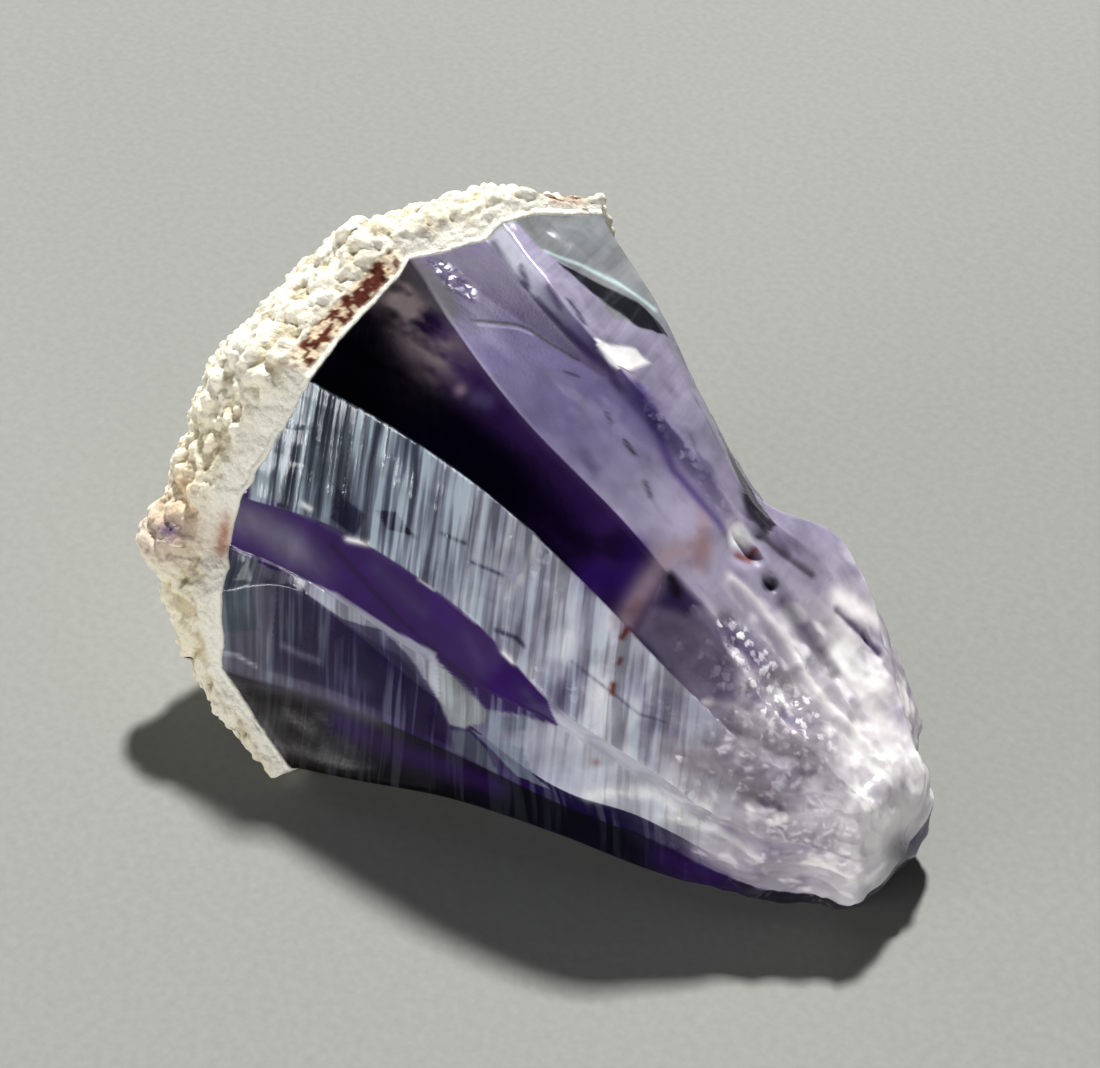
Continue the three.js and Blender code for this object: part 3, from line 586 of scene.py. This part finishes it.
# plum and smoke show through the dark face; haze lies over the far part of the bright one, with a painted
# reflection in silver and white spots that are partly frost, partly painted glints
purplish = onDarkFace * smoothStep(0.3, 1.2, station)
lay(purplish * smoothStep(6.35, 6.9, aroundPlace + 0.12 * clouds(even, [5, 2, 2], 75)), "plum", 0.8, 0.5)
lay(purplish * smoothStep(2.2, 3.3, station + 0.3 * clouds(even, 3, 93)), "plum", 0.7, 0.5)
lay(onDarkFace * smoothStep(0.2, 0.8, clouds(even, [6, 2.5, 2.5], 76)), "blackViolet", 0.5, 0.3)
wisps = stroke([(0.2, 6.82), (0.6, 6.8), (1.05, 6.75)], 2.2)
wisps = wisps * smoothStep(-0.9, 0.5, clouds(even, [2.6, 1, 1], 90))
lay(onDarkFace * wisps, "smoke", 1.2, 0.7)
lay(onBrightFace * smoothStep(0.7, 1.6, station) * smoothStep(0.0, 0.7, clouds(even, [3, 4, 3], 78)),
    "haze", 0.6, 0.6)
# silver over the far part of the striated face is a painted reflection; the white spots on it are partly
# frost and partly painted glints
frostAndGlintSpots = smoothStep(-0.2, 0.6, clouds(even, [0.7, 3.2, 3.2], 79) + 0.4 * clouds(even, 3, 80))
lay(onBrightFace * smoothStep(1.0, 2.4, station), "silver", 0.5, 0.9)
lay(onBrightFace * smoothStep(1.2, 2.8, station) * frostAndGlintSpots, "white", 0.55, 0.95)
lay(onBrightFace * smoothStep(2.0, 2.9, station) * smoothStep(-0.1, 0.6, clouds(even, [1.8, 4, 4], 97)),
    "haze", 0.55, 0.8)
# satin streaks down the top faces
topFaces = smoothStep(7.0, 7.1, aroundPlace) * smoothStep(10.0, 9.9, aroundPlace)
lay(topFaces * smoothStep(0.0, 0.8, clouds(even, [7, 1.2, 1.2], 87)), "lilac", 0.35, 0.75)
lay(topFaces * smoothStep(0.1, 0.8, clouds(even, [5, 1.6, 1.6], 88)), "dusk", 0.5, 0.55)

milky = smoothStep(3.5, 4.9, station + 0.35 * clouds(even, 4, 77))
milky = milky * (1 - 0.9 * smoothStep(2.1, 1.95, np.minimum(aroundPlace, 14 - aroundPlace)))
lay(milky, "milk", 0.95, 0.95)
lay(milky * smoothStep(0.0, 0.7, clouds(even, [6, 1.8, 1.8], 81)), "haze", 0.45, 0.8)
lay(milky * smoothStep(5.3, 6.2, station + 0.3 * clouds(even, 2, 82)), "white", 0.5, 0.95)
lay(milky * smoothStep(0.15, 0.55, clouds(even, [3, 1.2, 1.2], 84)), "white", 0.7, 1.0)
for corners, soft, name, strength, cloudiness in crystalLook["patches"]:
    lay(patch(corners, soft), name, strength, cloudiness)
for corners, radius, name, strength, cloudiness in crystalLook["strokes"]:
    lay(stroke(corners, radius), name, strength, cloudiness)
for places, radius, name, strength, cloudiness in crystalLook["tipMarks"]:
    lay(nearLine(even, places, radius), name, strength, cloudiness)
# the crust thins out to a white film over the first fraction of a millimetre
lay(smoothStep(0.05, 0.0, station + 0.02 * clouds(even, 1.2, 89)), "white", 0.9, 0.95)

frosty = np.array(crystalLook["frost"])[ridgeOf] + 1.3 * onDarkFace * smoothStep(6.8, 7.0, aroundPlace)
frosty = (frosty * (1 - milky) + 0.75 * milky) * (1 - 0.85 * druse)
paint(amethyst, "tint", tint)
paint(amethyst, "cloudy", np.clip(cloudy, 0, 1))
paint(amethyst, "striae", striated * (1 - 0.35 * smoothStep(1.4, 2.8, station)))
paint(amethyst, "frosty", np.clip(frosty, 0, 1.5))
paint(amethyst, "sparkling", sparkling)

print("stage: crust shape")
crust = {
    # outer corner of the broken edge at each ridge, mm
    "corners": np.array([
        [-8.2, -18.5, 0.3], [-8, -21.8, 1], [-15.8, -21, 5.2], [-18, -20.3, 10.8], [-19.4, -18.3, 14],
        [-20.2, -16.4, 18], [-18.4, -10.9, 27.4], [-16.4, -0.4, 32.8], [-13.4, 5.8, 32.7], [-12.8, 7.2, 33],
        [-11, 9.8, 32.7], [-8.9, 13.8, 30.8], [-10.6, 18, 17], [-11.6, 13, 0.3],
    ], float),
    "peak": np.array([-23.4, -9.5, 19.5]),
    "fullness": 0.5,
    "bulge": 0.8,  # how far its broken edge swells outwards, mm
    "lining": 0.4,  # room between its inside and the crystal's hidden end, mm
    # where its edge runs out over the crystal: station, and height over the faces in mm
    "feather": [(0.0, 0.14), (0.02, 0.1), (0.045, -0.06)],
    "columns": [12, 32, 28, 22, 26, 56, 60, 28, 10, 18, 26, 46, 50, 66],
    "domeRows": 146,
    "edgeRows": 28,
    "liningRows": 6,
    # lumps that stand out of it: place, radius, height in mm
    "lumps": [
        ([-20, -18.5, 13.9], 2.7, 1.6),
        ([-17, -2.2, 33.4], 2.1, 1.3),
        ([-15, 2.6, 34], 2.2, 0.4),
        ([-18, 8, 12], 4, 0.9),
    ],
}
crustRidge, crustPart = columnsFor(crust["columns"])
rimCorners = np.array([line[0] for line in crystal["ridges"].values()], float)
crustRim = ringThrough(rimCorners, crustRidge, crustPart)
crustRim = crustRim + rimShift(crustRim)
outerRim = ringThrough(crust["corners"], crustRidge, crustPart)
lining = peakRings(crustRim, crystal["peak"], crust["liningRows"], crystal["peakFullness"])
lining = lining - [crust["lining"], 0, 0]
dome = peakRings(outerRim, crust["peak"], crust["domeRows"], crust["fullness"], 1.3)[::-1]
edgeParts = (np.arange(crust["edgeRows"]) / crust["edgeRows"])[:, None, None]
outwards = crustRim - crustRim.mean(axis=0)
outwards -= (outwards @ growthAxis)[:, None] * growthAxis
outwards /= np.linalg.norm(outwards, axis=-1, keepdims=True)
edge = outerRim + (crustRim - outerRim) * edgeParts + outwards * crust["bulge"] * np.sin(math.pi * edgeParts)
overFaces = np.stack([
    ringThrough(np.stack([alongRidge(line, np.array([at]))[0] for line in crystal["ridges"].values()]),
                crustRidge, crustPart) + rimShift(crustRim) + outwards * height
    for at, height in crust["feather"]])
tucked = crustRim - [crust["lining"], 0, 0]
shell = np.concatenate([dome, edge, overFaces, tucked[None], lining])
shellRow = np.arange(len(shell))[:, None] * np.ones(len(crustRidge))
edgeEnd = crust["domeRows"] + crust["edgeRows"]
grainEnd = crust["domeRows"] + 0.7 * crust["edgeRows"] + 6 * clouds(shell, 2.2, 86)
onDome = 1 - smoothStep(-6, 5, shellRow - grainEnd)
onEdge = (1 - onDome) * (shellRow < edgeEnd)
aroundCrust = np.broadcast_to(crustRidge + crustPart, shellRow.shape)
rimLength = aroundLength(outerRim[None])[0] * np.ones_like(shellRow)

fibres = np.stack([rimLength / 0.5, shellRow / 16, np.zeros_like(shellRow)], axis=-1)
fluted = 0.4 + 0.6 * smoothStep(5.3, 6.0, aroundCrust) * (1 - smoothStep(8.2, 9, aroundCrust))
crustRelief = onDome * (0.5 * beads(shell, 1.2, 81) + 0.4 * beads(shell, 0.65, 82) - 0.4
                        + 0.4 * clouds(shell, 3, 83) + 0.25 * clouds(shell, 0.8, 98))
crustRelief += onEdge * (0.16 * fluted * lumps(fibres, 1, 84) + 0.12 * clouds(shell, 1.1, 85))
for place, radius, height in crust["lumps"]:
    away = np.linalg.norm(shell - place, axis=-1) / radius
    crustRelief += height * np.exp(-away ** 4) * onDome
crustRelief *= smoothStep(0.2, 1.6, shell[..., 2])
shellGrid = shell + gridNormals(shell) * crustRelief[..., None]
shellGrid[..., 2] = np.maximum(shellGrid[..., 2], 0.05)
crustShell = closedLoft("crustShell", crust["peak"], shellGrid, crystal["peak"] - [crust["lining"], 0, 0])

print("stage: crust colouring")
crustLook = {
    "colours": {
        "chalk": "#f8f5ea", "cream": "#f3ead0", "warm": "#e6c08a", "hollowShade": "#b5a47c",
        "rust": "#a8572b", "brown": "#6b2f1c", "knob": "#cdbcb4", "violet": "#5a4474",
    },
    # stains: places in mm, radius, tint, strength
    "stains": [
        ([[-19.5, -17, 17.5], [-18.6, -18.2, 15]], 1.6, "warm", 0.7),
        ([[-15.9, -16.2, 16.9], [-15.6, -17.2, 14.4]], 0.6, "rust", 0.9),
        ([[-9.8, 11, 32.6], [-9.2, 12.8, 31.9]], 0.55, "rust", 0.7),
        ([[-8.4, -20, 1.2], [-10, -20.6, 3]], 0.6, "rust", 0.5),
        ([[-15.3, -19, 11], [-14.6, -19.7, 8.5]], 0.5, "warm", 0.6),
        ([[-17, -1, 33.8], [-16, 2, 34]], 0.7, "warm", 0.5),
        ([[-21, -16.2, 12], [-17.3, -20.3, 17.4]], 2.2, "knob", 0.9),
        ([[-20.7, -16, 12], [-17, -20.1, 17.4]], 0.6, "violet", 1.0),
    ],
}
crustColours = {name: np.array(hexColour(code)[:3]) for name, code in crustLook["colours"].items()}
crustTint = np.ones(shell.shape) * crustColours["chalk"]


def layOnCrust(mask, name):
    mask = np.clip(mask, 0, 1)[..., None]
    crustTint[:] = crustTint * (1 - mask) + crustColours[name] * mask


layOnCrust(onDome * (0.45 + 0.6 * clouds(shell, [4, 3, 3], 92)), "cream")
# painted shade in the hollows between the grains
layOnCrust(onDome * 0.5 * smoothStep(0.5, 0.1, beads(shell, 1.2, 81)), "hollowShade")
for places, radius, name, strength in crustLook["stains"]:
    layOnCrust(strength * nearLine(shell, places, radius) * (0.75 + 0.5 * clouds(shell, 0.8, 94)), name)
speckled = (smoothStep(5.95, 6.15, aroundCrust) * (1 - smoothStep(6.8, 7.05, aroundCrust))
            * smoothStep(edgeEnd - 11, edgeEnd - 8, shellRow)
            * (1 - smoothStep(edgeEnd - 2, edgeEnd, shellRow)))
layOnCrust(speckled * 0.5, "warm")
layOnCrust(speckled * 1.2 * smoothStep(-0.05, 0.15, clouds(shell, 0.5, 96)), "brown")
paint(crustShell, "tint", crustTint)

print("stage: materials")


# natural quartz coloured by iron: glassy and see-through, purple in depth,
# cloudy where it holds gas and cracks
def amethystQuartz():
    made = bpy.data.materials.new("naturalAmethyst")
    made.use_nodes = True
    tree = made.node_tree
    tree.nodes.clear()
    place = addNode(tree, "ShaderNodeTexCoord").outputs["Object"]
    tintOf = addNode(tree, "ShaderNodeAttribute", attribute_name="tint").outputs["Color"]
    cloudyOf, striaeOf, frostyOf, sparklingOf = (
        addNode(tree, "ShaderNodeAttribute", attribute_name=name).outputs["Fac"]
        for name in ("cloudy", "striae", "frosty", "sparkling"))
    turned = Vector(growthAxis).to_track_quat("X", "Z").to_euler()
    # growth lines about 0.5 mm apart over broader ones of 1.8 mm, each running 10 mm across its face
    fineLines, broadLines = (
        addNode(tree, "ShaderNodeTexNoise", {
            "Vector": addNode(tree, "ShaderNodeMapping",
                              {"Vector": place, "Rotation": turned, "Scale": (pitch * mm, 10 * mm, 10 * mm)},
                              vector_type="TEXTURE").outputs["Vector"],
            "Scale": 1.0, "Detail": 1.5, "Roughness": 0.6}).outputs["Fac"]
        for pitch in (0.5, 1.8))
    lines = addNode(tree, "ShaderNodeMath", {0: fineLines, 1: broadLines}, operation="ADD").outputs[0]
    # the growth lines are coloured as dark and pale streaks: a painted reflection of dark and bright
    # surroundings in the striated faces
    dark = addNode(tree, "ShaderNodeMapRange", {
        "Value": lines, "From Min": 0.96, "From Max": 0.84, "To Max": 0.6})
    dark = addNode(tree, "ShaderNodeMath", {0: dark.outputs[0], 1: striaeOf}, operation="MULTIPLY")
    light = addNode(tree, "ShaderNodeMapRange", {
        "Value": lines, "From Min": 1.0, "From Max": 1.18, "To Max": 0.85})
    light = addNode(tree, "ShaderNodeMath", {0: light.outputs[0], 1: striaeOf}, operation="MULTIPLY")
    withDarkReflectionStreaks = addNode(tree, "ShaderNodeMix", {0: dark.outputs[0], 6: tintOf, 7: hexColour("#2a3044")},
                       data_type="RGBA")
    withReflectionStreaks = addNode(tree, "ShaderNodeMix", {
        0: light.outputs[0], 6: withDarkReflectionStreaks.outputs[2], 7: hexColour("#c6d2da")}, data_type="RGBA")
    # druse: uneven crystal grains of 0.6 mm, some of which are painted white as glints
    wavering = addNode(tree, "ShaderNodeTexNoise", {"Vector": place, "Scale": 1800.0, "Detail": 3.0})
    grainPlace = addNode(tree, "ShaderNodeVectorMath", {
        0: wavering.outputs["Color"], 1: (0.9 * mm,) * 3, 2: place}, operation="MULTIPLY_ADD")
    grains = addNode(tree, "ShaderNodeTexVoronoi", {"Vector": grainPlace.outputs[0], "Scale": 1700.0})
    grainNumber = addNode(tree, "ShaderNodeSeparateColor", {"Color": grains.outputs["Color"]}).outputs[0]
    blob = addNode(tree, "ShaderNodeMapRange", {
        "Value": grains.outputs["Distance"], "From Min": 0.6, "From Max": 0.35})
    paintedGlintGrains = addNode(tree, "ShaderNodeMapRange", {
        "Value": grainNumber, "From Min": 0.35, "From Max": 0.8, "To Max": 0.85})
    glint = addNode(tree, "ShaderNodeMath", {0: paintedGlintGrains.outputs[0], 1: sparklingOf}, operation="MULTIPLY")
    glint = addNode(tree, "ShaderNodeMath", {0: glint.outputs[0], 1: blob.outputs[0]}, operation="MULTIPLY")
    colour = addNode(tree, "ShaderNodeMix", {
        0: glint.outputs[0], 6: withReflectionStreaks.outputs[2], 7: hexColour("#ffffff")}, data_type="RGBA").outputs[2]
    wisps = addNode(tree, "ShaderNodeTexNoise", {
        "Vector": place, "Scale": 350.0, "Detail": 4.0, "Distortion": 0.6})
    haze = addNode(tree, "ShaderNodeMapRange", {
        "Value": wisps.outputs["Fac"], "From Min": 0.35, "From Max": 0.7, "To Min": 0.8, "To Max": 1.15})
    cloud = addNode(tree, "ShaderNodeMath", {0: cloudyOf, 1: haze.outputs[0]}, operation="MULTIPLY")
    cloud = addNode(tree, "ShaderNodeMath", {0: light.outputs[0], 1: 0.45, 2: cloud.outputs[0]},
                    operation="MULTIPLY_ADD")
    cloud = addNode(tree, "ShaderNodeMath", {0: cloud.outputs[0], 1: glint.outputs[0]}, operation="ADD")
    clear = addNode(tree, "ShaderNodeMath", {0: 1.0, 1: cloud.outputs[0]},
                    operation="SUBTRACT", use_clamp=True)
    rough = addNode(tree, "ShaderNodeMath", {0: frostyOf, 1: 0.35, 2: 0.05}, operation="MULTIPLY_ADD")
    # pits and grain of the etched faces, about 0.2 mm, and the druse's small points
    pits = addNode(tree, "ShaderNodeTexNoise", {"Vector": place, "Scale": 4500.0, "Detail": 2.0})
    pitted = addNode(tree, "ShaderNodeMath", {0: pits.outputs["Fac"], 1: frostyOf}, operation="MULTIPLY")
    lined = addNode(tree, "ShaderNodeMath", {0: fineLines, 1: striaeOf}, operation="MULTIPLY")
    height = addNode(tree, "ShaderNodeMath", {0: pitted.outputs[0], 1: 0.2, 2: lined.outputs[0]},
                     operation="MULTIPLY_ADD")
    points = addNode(tree, "ShaderNodeMath", {0: grains.outputs["Distance"], 1: sparklingOf},
                     operation="MULTIPLY")
    height = addNode(tree, "ShaderNodeMath", {0: height.outputs[0], 1: points.outputs[0]},
                     operation="SUBTRACT")
    bump = addNode(tree, "ShaderNodeBump", {
        "Strength": 0.8, "Distance": 0.08 * mm, "Height": height.outputs[0]})
    # light soaks a millimetre or two into the milky parts and comes out again
    surface = addNode(tree, "ShaderNodeBsdfPrincipled", {
        "Base Color": colour, "Roughness": rough.outputs[0], "IOR": 1.544,
        "Transmission Weight": clear.outputs[0], "Specular IOR Level": 0.3, "Normal": bump.outputs[0],
        "Subsurface Weight": 0.6, "Subsurface Radius": (1.0, 0.9, 1.0), "Subsurface Scale": 1.5 * mm,
    })
    depth = addNode(tree, "ShaderNodeVolumeAbsorption", {"Color": hexColour("#9a78d8"), "Density": 110.0})
    output = addNode(tree, "ShaderNodeOutputMaterial")
    tree.links.new(surface.outputs[0], output.inputs["Surface"])
    tree.links.new(depth.outputs[0], output.inputs["Volume"])
    return made


# chalky carbonate crust: matt and granular, cream, with iron stain
def chalkyCrust():
    made = bpy.data.materials.new("chalkyMineralCrust")
    made.use_nodes = True
    tree = made.node_tree
    tree.nodes.clear()
    place = addNode(tree, "ShaderNodeTexCoord").outputs["Object"]
    tintOf = addNode(tree, "ShaderNodeAttribute", attribute_name="tint").outputs["Color"]
    # powdery grain of about 0.3 mm between small crystals of 0.5 mm
    grain = addNode(tree, "ShaderNodeTexNoise", {
        "Vector": place, "Scale": 3500.0, "Detail": 4.0, "Roughness": 0.65})
    small = addNode(tree, "ShaderNodeTexVoronoi", {"Vector": place, "Scale": 2000.0})
    height = addNode(tree, "ShaderNodeMath", {0: small.outputs["Distance"], 1: -0.8, 2: grain.outputs["Fac"]},
                     operation="MULTIPLY_ADD")
    # painted shade where the grain, which also raises the bump, is low
    pitShade = addNode(tree, "ShaderNodeMapRange", {
        "Value": grain.outputs["Fac"], "From Min": 0.55, "From Max": 0.3, "To Max": 0.12})
    colour = addNode(tree, "ShaderNodeMix", {0: pitShade.outputs[0], 6: tintOf, 7: hexColour("#9c8f74")},
                     data_type="RGBA")
    bump = addNode(tree, "ShaderNodeBump", {
        "Strength": 0.7, "Distance": 0.2 * mm, "Height": height.outputs[0]})
    surface = addNode(tree, "ShaderNodeBsdfPrincipled", {
        "Base Color": colour.outputs[2], "Roughness": 0.85, "IOR": 1.5, "Normal": bump.outputs[0],
    })
    output = addNode(tree, "ShaderNodeOutputMaterial")
    tree.links.new(surface.outputs[0], output.inputs["Surface"])
    return made


# painted board: matt pale grey, even but for a fine tooth
def paleBoard():
    made = bpy.data.materials.new("paleGreyBoard")
    made.use_nodes = True
    tree = made.node_tree
    tree.nodes.clear()
    place = addNode(tree, "ShaderNodeTexCoord").outputs["Object"]
    tooth = addNode(tree, "ShaderNodeTexNoise", {"Vector": place, "Scale": 1500.0, "Detail": 3.0})
    colour = addNode(tree, "ShaderNodeMix", {
        0: tooth.outputs["Fac"], 6: hexColour("#939490"), 7: hexColour("#a1a29f")}, data_type="RGBA")
    surface = addNode(tree, "ShaderNodeBsdfPrincipled", {"Base Color": colour.outputs[2], "Roughness": 0.8})
    output = addNode(tree, "ShaderNodeOutputMaterial")
    tree.links.new(surface.outputs[0], output.inputs["Surface"])
    return made


amethyst.data.materials.append(amethystQuartz())
crustShell.data.materials.append(chalkyCrust())
for piece, node in ((amethyst, "amethyst"), (crustShell, "white_crust")):
    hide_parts(node)
    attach(piece, "root")

print("stage: floor, lights and camera")
stage = {
    "cameraTurn": 43.0,  # degrees round from looking along +Y
    "cameraRise": 45.0,
    "cameraAway": 0.185,
    "cameraLens": 85.0,
    "cameraTarget": Vector((-4.55, 1.81, 14.0)) * mm,
    # each light: the way to it, how far it is, its width and height in metres, its power in watts, its colour
    "lights": {
        "keyLight": ((-0.316, 0.438, 0.842), 1.4, (0.1, 0.1), 28.0, (1, 0.995, 0.975)),
        "frontBox": ((-0.28, -0.93, 0.25), 0.5, (0.33, 0.09), 1.0, (1, 1, 1)),
        "sideBox": ((0.85, -0.5, 0.1), 0.5, (0.16, 0.06), 0.9, (1, 1, 1)),
        "crustBox": ((-0.95, -0.3, 0.08), 0.4, (0.12, 0.06), 0.24, (1, 1, 1)),  # lifts the crust's dim side
    },
    "surround": hexColour("#c8ccd2"),
    "surroundStrength": 0.04,
    "gamma": 0.8,  # firm contrast, like a phone camera's
    "exposure": 0.17,
    "floorHalf": 1.5,  # from the middle of the floor to its edges, metres
    "floorSink": 0.00004,  # keeps the floor just clear of the face that rests on it, metres
}

floorMesh = bpy.data.meshes.new("floor")
half, sink = stage["floorHalf"], stage["floorSink"]
floorCorners = [(-half, -half), (half, -half), (half, half), (-half, half)]
floorMesh.from_pydata([(x, y, -sink) for x, y in floorCorners], [], [(0, 1, 2, 3)])
floor = bpy.data.objects.new("floor", floorMesh)
bpy.context.collection.objects.link(floor)
floorMesh.materials.append(paleBoard())


# an area light that faces the crystal
def areaLight(name, way, away, size, power, colour):
    light = bpy.data.lights.new(name, "AREA")
    light.shape = "RECTANGLE"
    light.size, light.size_y = size
    light.energy = power
    light.color = colour
    lamp = bpy.data.objects.new(name, light)
    lamp.location = stage["cameraTarget"] + way.normalized() * away
    lamp.rotation_euler = way.to_track_quat("Z", "Y").to_euler()
    bpy.context.collection.objects.link(lamp)


for name, (way, away, size, power, colour) in stage["lights"].items():
    areaLight(name, Vector(way), away, size, power, colour)

world = bpy.data.worlds.new("surround")
bpy.context.scene.world = world
world.use_nodes = True
world.node_tree.nodes["Background"].inputs["Color"].default_value = stage["surround"]
world.node_tree.nodes["Background"].inputs["Strength"].default_value = stage["surroundStrength"]
view = bpy.context.scene.view_settings
view.view_transform = "Standard"
view.gamma = stage["gamma"]
view.exposure = stage["exposure"]

turn, rise = math.radians(stage["cameraTurn"]), math.radians(stage["cameraRise"])
backwards = Vector((math.sin(turn) * math.cos(rise), -math.cos(turn) * math.cos(rise), math.sin(rise)))
camera = bpy.data.objects.new("camera", bpy.data.cameras.new("camera"))
camera.data.lens = stage["cameraLens"]
camera.data.sensor_width = 36
camera.data.clip_start = 0.01
camera.location = stage["cameraTarget"] + backwards * stage["cameraAway"]
camera.rotation_euler = backwards.to_track_quat("Z", "Y").to_euler()
bpy.context.collection.objects.link(camera)
bpy.context.scene.camera = camera

print("stage: done")
